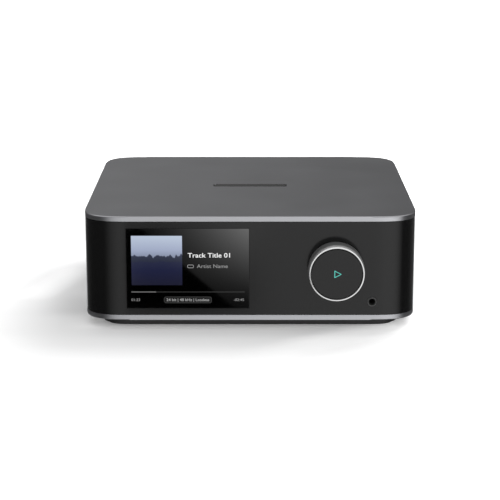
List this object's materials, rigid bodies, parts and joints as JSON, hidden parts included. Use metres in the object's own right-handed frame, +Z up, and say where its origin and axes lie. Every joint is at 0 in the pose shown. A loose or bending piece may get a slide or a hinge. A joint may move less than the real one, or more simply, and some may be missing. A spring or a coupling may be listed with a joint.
{
  "type": "digital audio player",
  "caption": "Desktop audio player: rounded aluminium case, dark wrap-round fascia with a display, a turning volume knob with a press-to-play face, a headphone socket and rear sockets.",
  "frame": {"origin": "on the table, at the centre of the overall footprint from the knob face to the end of the rear ground post", "axes": "+Z up, -Y towards the listener (the fascia faces -Y), +X to the listener's right"},
  "size_m": [0.203, 0.2196, 0.071],
  "materials": {
    "anodised_aluminium": "bead-blasted dark grey anodising",
    "dark_fascia": "satin dark grey anodising",
    "polished_inlay": "polished dark trim",
    "display_glass": "black-backed cover glass, polished",
    "black_abs": "fine moulded texture",
    "foot_rubber": "matt",
    "plated_steel": "zinc plated",
    "black_anodised": "black anodised",
    "nickel": "nickel plated",
    "brass_plated": "gold coloured plating",
    "circuit_board": "green solder mask",
    "flat_cable": "white film",
    "capacitor_sleeve": "dark blue sleeve",
    "light_guide": "tinted clear, lit from behind"
  },
  "bodies": {
    "player": {"antenna_left": "circuit_board", "antenna_right": "circuit_board", "audio_shield": "plated_steel", "av_socket": "plated_steel", "base_plinth": "black_abs", "base_screw_1": "plated_steel", "base_screw_2": "plated_steel", "base_screw_3": "plated_steel", "base_screw_4": "plated_steel", "bottom_plate": "plated_steel", "case_shell": "anodised_aluminium", "control_board": "circuit_board", "control_ribbon": "flat_cable", "display_bracket": "plated_steel", "display_ribbon": "flat_cable", "encoder_housing": "plated_steel", "encoder_nut": "nickel", "foot_ring": "foot_rubber", "front_fascia": "dark_fascia", "ground_post": "nickel", "headphone_jack": "black_abs", "jack_bezel": "dark_fascia", "lcd_panel": "black_abs", "main_board": "circuit_board", "mains_inlet": "black_abs", "mains_pin_left": "nickel", "mains_pin_right": "nickel", "network_socket": "plated_steel", "optical_in_socket": "black_abs", "optical_out_socket": "black_abs", "play_switch_body": "black_abs", "power_cable": "black_abs", "power_supply_board": "circuit_board", "processor_heatsink": "black_anodised", "processor_shield": "plated_steel", "psu_capacitor": "capacitor_sleeve", "psu_heatsink": "plated_steel", "psu_insulator": "flat_cable", "psu_transformer": "black_abs", "rca_digital_sub_pair": "nickel", "rca_line_in_pair": "nickel", "rca_line_out_pair": "nickel", "rca_phono_in_pair": "nickel", "rear_panel": "black_abs", "screen_glass": "display_glass", "top_inlay": "polished_inlay", "trigger_jack": "black_abs", "usb_socket": "plated_steel", "wireless_module": "plated_steel"},
    "volume_knob": {"volume_knob": "dark_fascia", "encoder_rotor": "plated_steel"},
    "play_button": {"play_button_face": "dark_fascia", "play_light_guide": "light_guide", "play_switch_stem": "light_guide"},
    "optical_in_shutter": {"optical_in_shutter": "black_abs"},
    "optical_out_shutter": {"optical_out_shutter": "black_abs"},
    "ground_washer": {"ground_washer": "nickel"},
    "ground_nut": {"ground_nut": "brass_plated"}
  },
  "joints": [
    {"name": "volume_turn", "type": "hinge", "parent": "player", "child": "volume_knob", "pos_m": [0.0519, -0.1028, 0.0387], "axis": [0, 1, 0], "continuous": true},
    {"name": "play_press", "type": "slide", "parent": "player", "child": "play_button", "axis": [0, 1, 0], "range_m": [0, 0.0005], "stiffness_N_per_m": 900},
    {"name": "optical_in_flap", "type": "hinge", "parent": "player", "child": "optical_in_shutter", "pos_m": [-0.0255, 0.0977, 0.0247], "axis": [-1, 0, 0], "range_deg": [0, 82]},
    {"name": "optical_out_flap", "type": "hinge", "parent": "player", "child": "optical_out_shutter", "pos_m": [-0.0255, 0.0977, 0.0363], "axis": [-1, 0, 0], "range_deg": [0, 82]},
    {"name": "ground_lift", "type": "slide", "parent": "player", "child": "ground_washer", "axis": [0, 1, 0], "range_m": [0, 0.0021]},
    {"name": "ground_turn", "type": "hinge", "parent": "ground_washer", "child": "ground_nut", "pos_m": [-0.0785, 0.0998, 0.0555], "axis": [0, 1, 0], "range_deg": [0, 1080]}
  ],
  "couplings": [
    {"joint": "ground_turn", "follows": "ground_lift", "rad_per_m": 8976}
  ]
}
